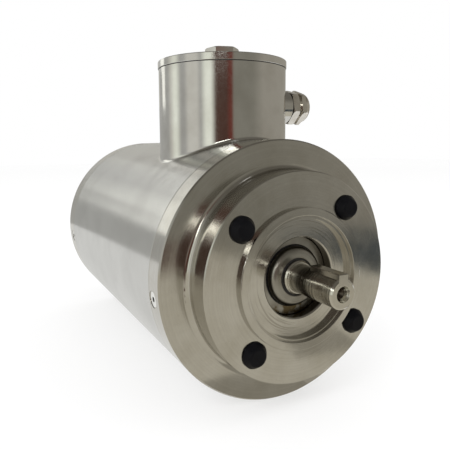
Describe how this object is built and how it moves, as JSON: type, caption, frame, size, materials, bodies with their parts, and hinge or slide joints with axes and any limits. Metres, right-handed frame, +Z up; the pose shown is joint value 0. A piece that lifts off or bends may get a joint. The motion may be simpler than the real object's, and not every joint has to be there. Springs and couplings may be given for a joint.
{
  "type": "three-phase electric motor",
  "caption": "Smooth stainless three-phase motor with a face flange, keyed shaft, round welded terminal box and cable gland.",
  "frame": {"origin": "centre of the flange's mounting face, on the shaft's axis", "axes": "+X out along the shaft, +Z up through the terminal box, +Y to the side with the cable gland"},
  "size_m": [0.263, 0.135, 0.1902],
  "materials": {
    "turned_steel": "turned",
    "satin_steel": "satin",
    "polished_steel": "polished",
    "plated_brass": "nickel plated",
    "bright_fastener": "machined",
    "black_plastic": "matte",
    "dark_rubber": "matte",
    "core_steel": "laminated",
    "copper_winding": "varnished",
    "cast_aluminium": "cast",
    "bearing_steel": "ground",
    "terminal_plastic": "moulded",
    "terminal_brass": "plain",
    "lead_insulation": "smooth"
  },
  "bodies": {
    "housing": {"mounting_flange": "turned_steel", "front_shield": "turned_steel", "rear_shield": "turned_steel", "housing_tube": "satin_steel", "end_rings": "turned_steel", "shield_o_rings": "dark_rubber", "shield_screws": "bright_fastener", "flange_plugs": "black_plastic", "seal_case": "polished_steel", "seal_lip": "dark_rubber", "garter_spring": "bright_fastener", "bearing_retaining_ring": "bright_fastener", "wave_spring": "bright_fastener", "stator_core": "core_steel", "slot_wedges": "terminal_plastic", "stator_winding": "copper_winding", "terminal_box_wall": "polished_steel", "lid_gasket": "dark_rubber", "block_posts": "bright_fastener", "terminal_block": "terminal_plastic", "block_screws": "bright_fastener", "terminal_studs": "terminal_brass", "terminal_nuts": "terminal_brass", "terminal_links": "terminal_brass", "lead_lugs": "terminal_brass", "winding_leads": "lead_insulation", "earth_boss": "bright_fastener", "earth_washer": "bright_fastener", "earth_screw": "bright_fastener", "gland_collar": "polished_steel", "gland_washer": "dark_rubber", "gland_body": "plated_brass", "gland_seal": "dark_rubber", "gland_dome_nut": "plated_brass", "front_outer_race": "bearing_steel", "front_side_shields": "bearing_steel", "rear_outer_race": "bearing_steel", "rear_side_shields": "bearing_steel"},
    "rotor": {"shaft": "turned_steel", "shaft_key": "bright_fastener", "slinger_case": "polished_steel", "slinger_hub": "dark_rubber", "rotor_core": "core_steel", "rotor_cage": "cast_aluminium", "front_inner_race": "bearing_steel", "rear_inner_race": "bearing_steel"},
    "front_cage": {"front_bearing_cage": "terminal_brass", "front_bearing_balls": "bearing_steel"},
    "rear_cage": {"rear_bearing_cage": "terminal_brass", "rear_bearing_balls": "bearing_steel"},
    "lid": {"terminal_box_lid": "polished_steel"}
  },
  "joints": [
    {"name": "rotor_spin", "type": "hinge", "parent": "housing", "child": "rotor", "pos_m": [0, 0, 0], "axis": [1, 0, 0], "continuous": true},
    {"name": "front_cage_spin", "type": "hinge", "parent": "housing", "child": "front_cage", "pos_m": [-0.0235, 0, 0], "axis": [1, 0, 0], "continuous": true},
    {"name": "rear_cage_spin", "type": "hinge", "parent": "housing", "child": "rear_cage", "pos_m": [-0.2131, 0, 0], "axis": [1, 0, 0], "continuous": true},
    {"name": "lid_lift", "type": "slide", "parent": "housing", "child": "lid", "axis": [0, 0, 1], "range_m": [0, 0.03]}
  ],
  "couplings": [
    {"joint": "front_cage_spin", "follows": "rotor_spin", "ratio": 0.3816},
    {"joint": "rear_cage_spin", "follows": "rotor_spin", "ratio": 0.3816}
  ]
}
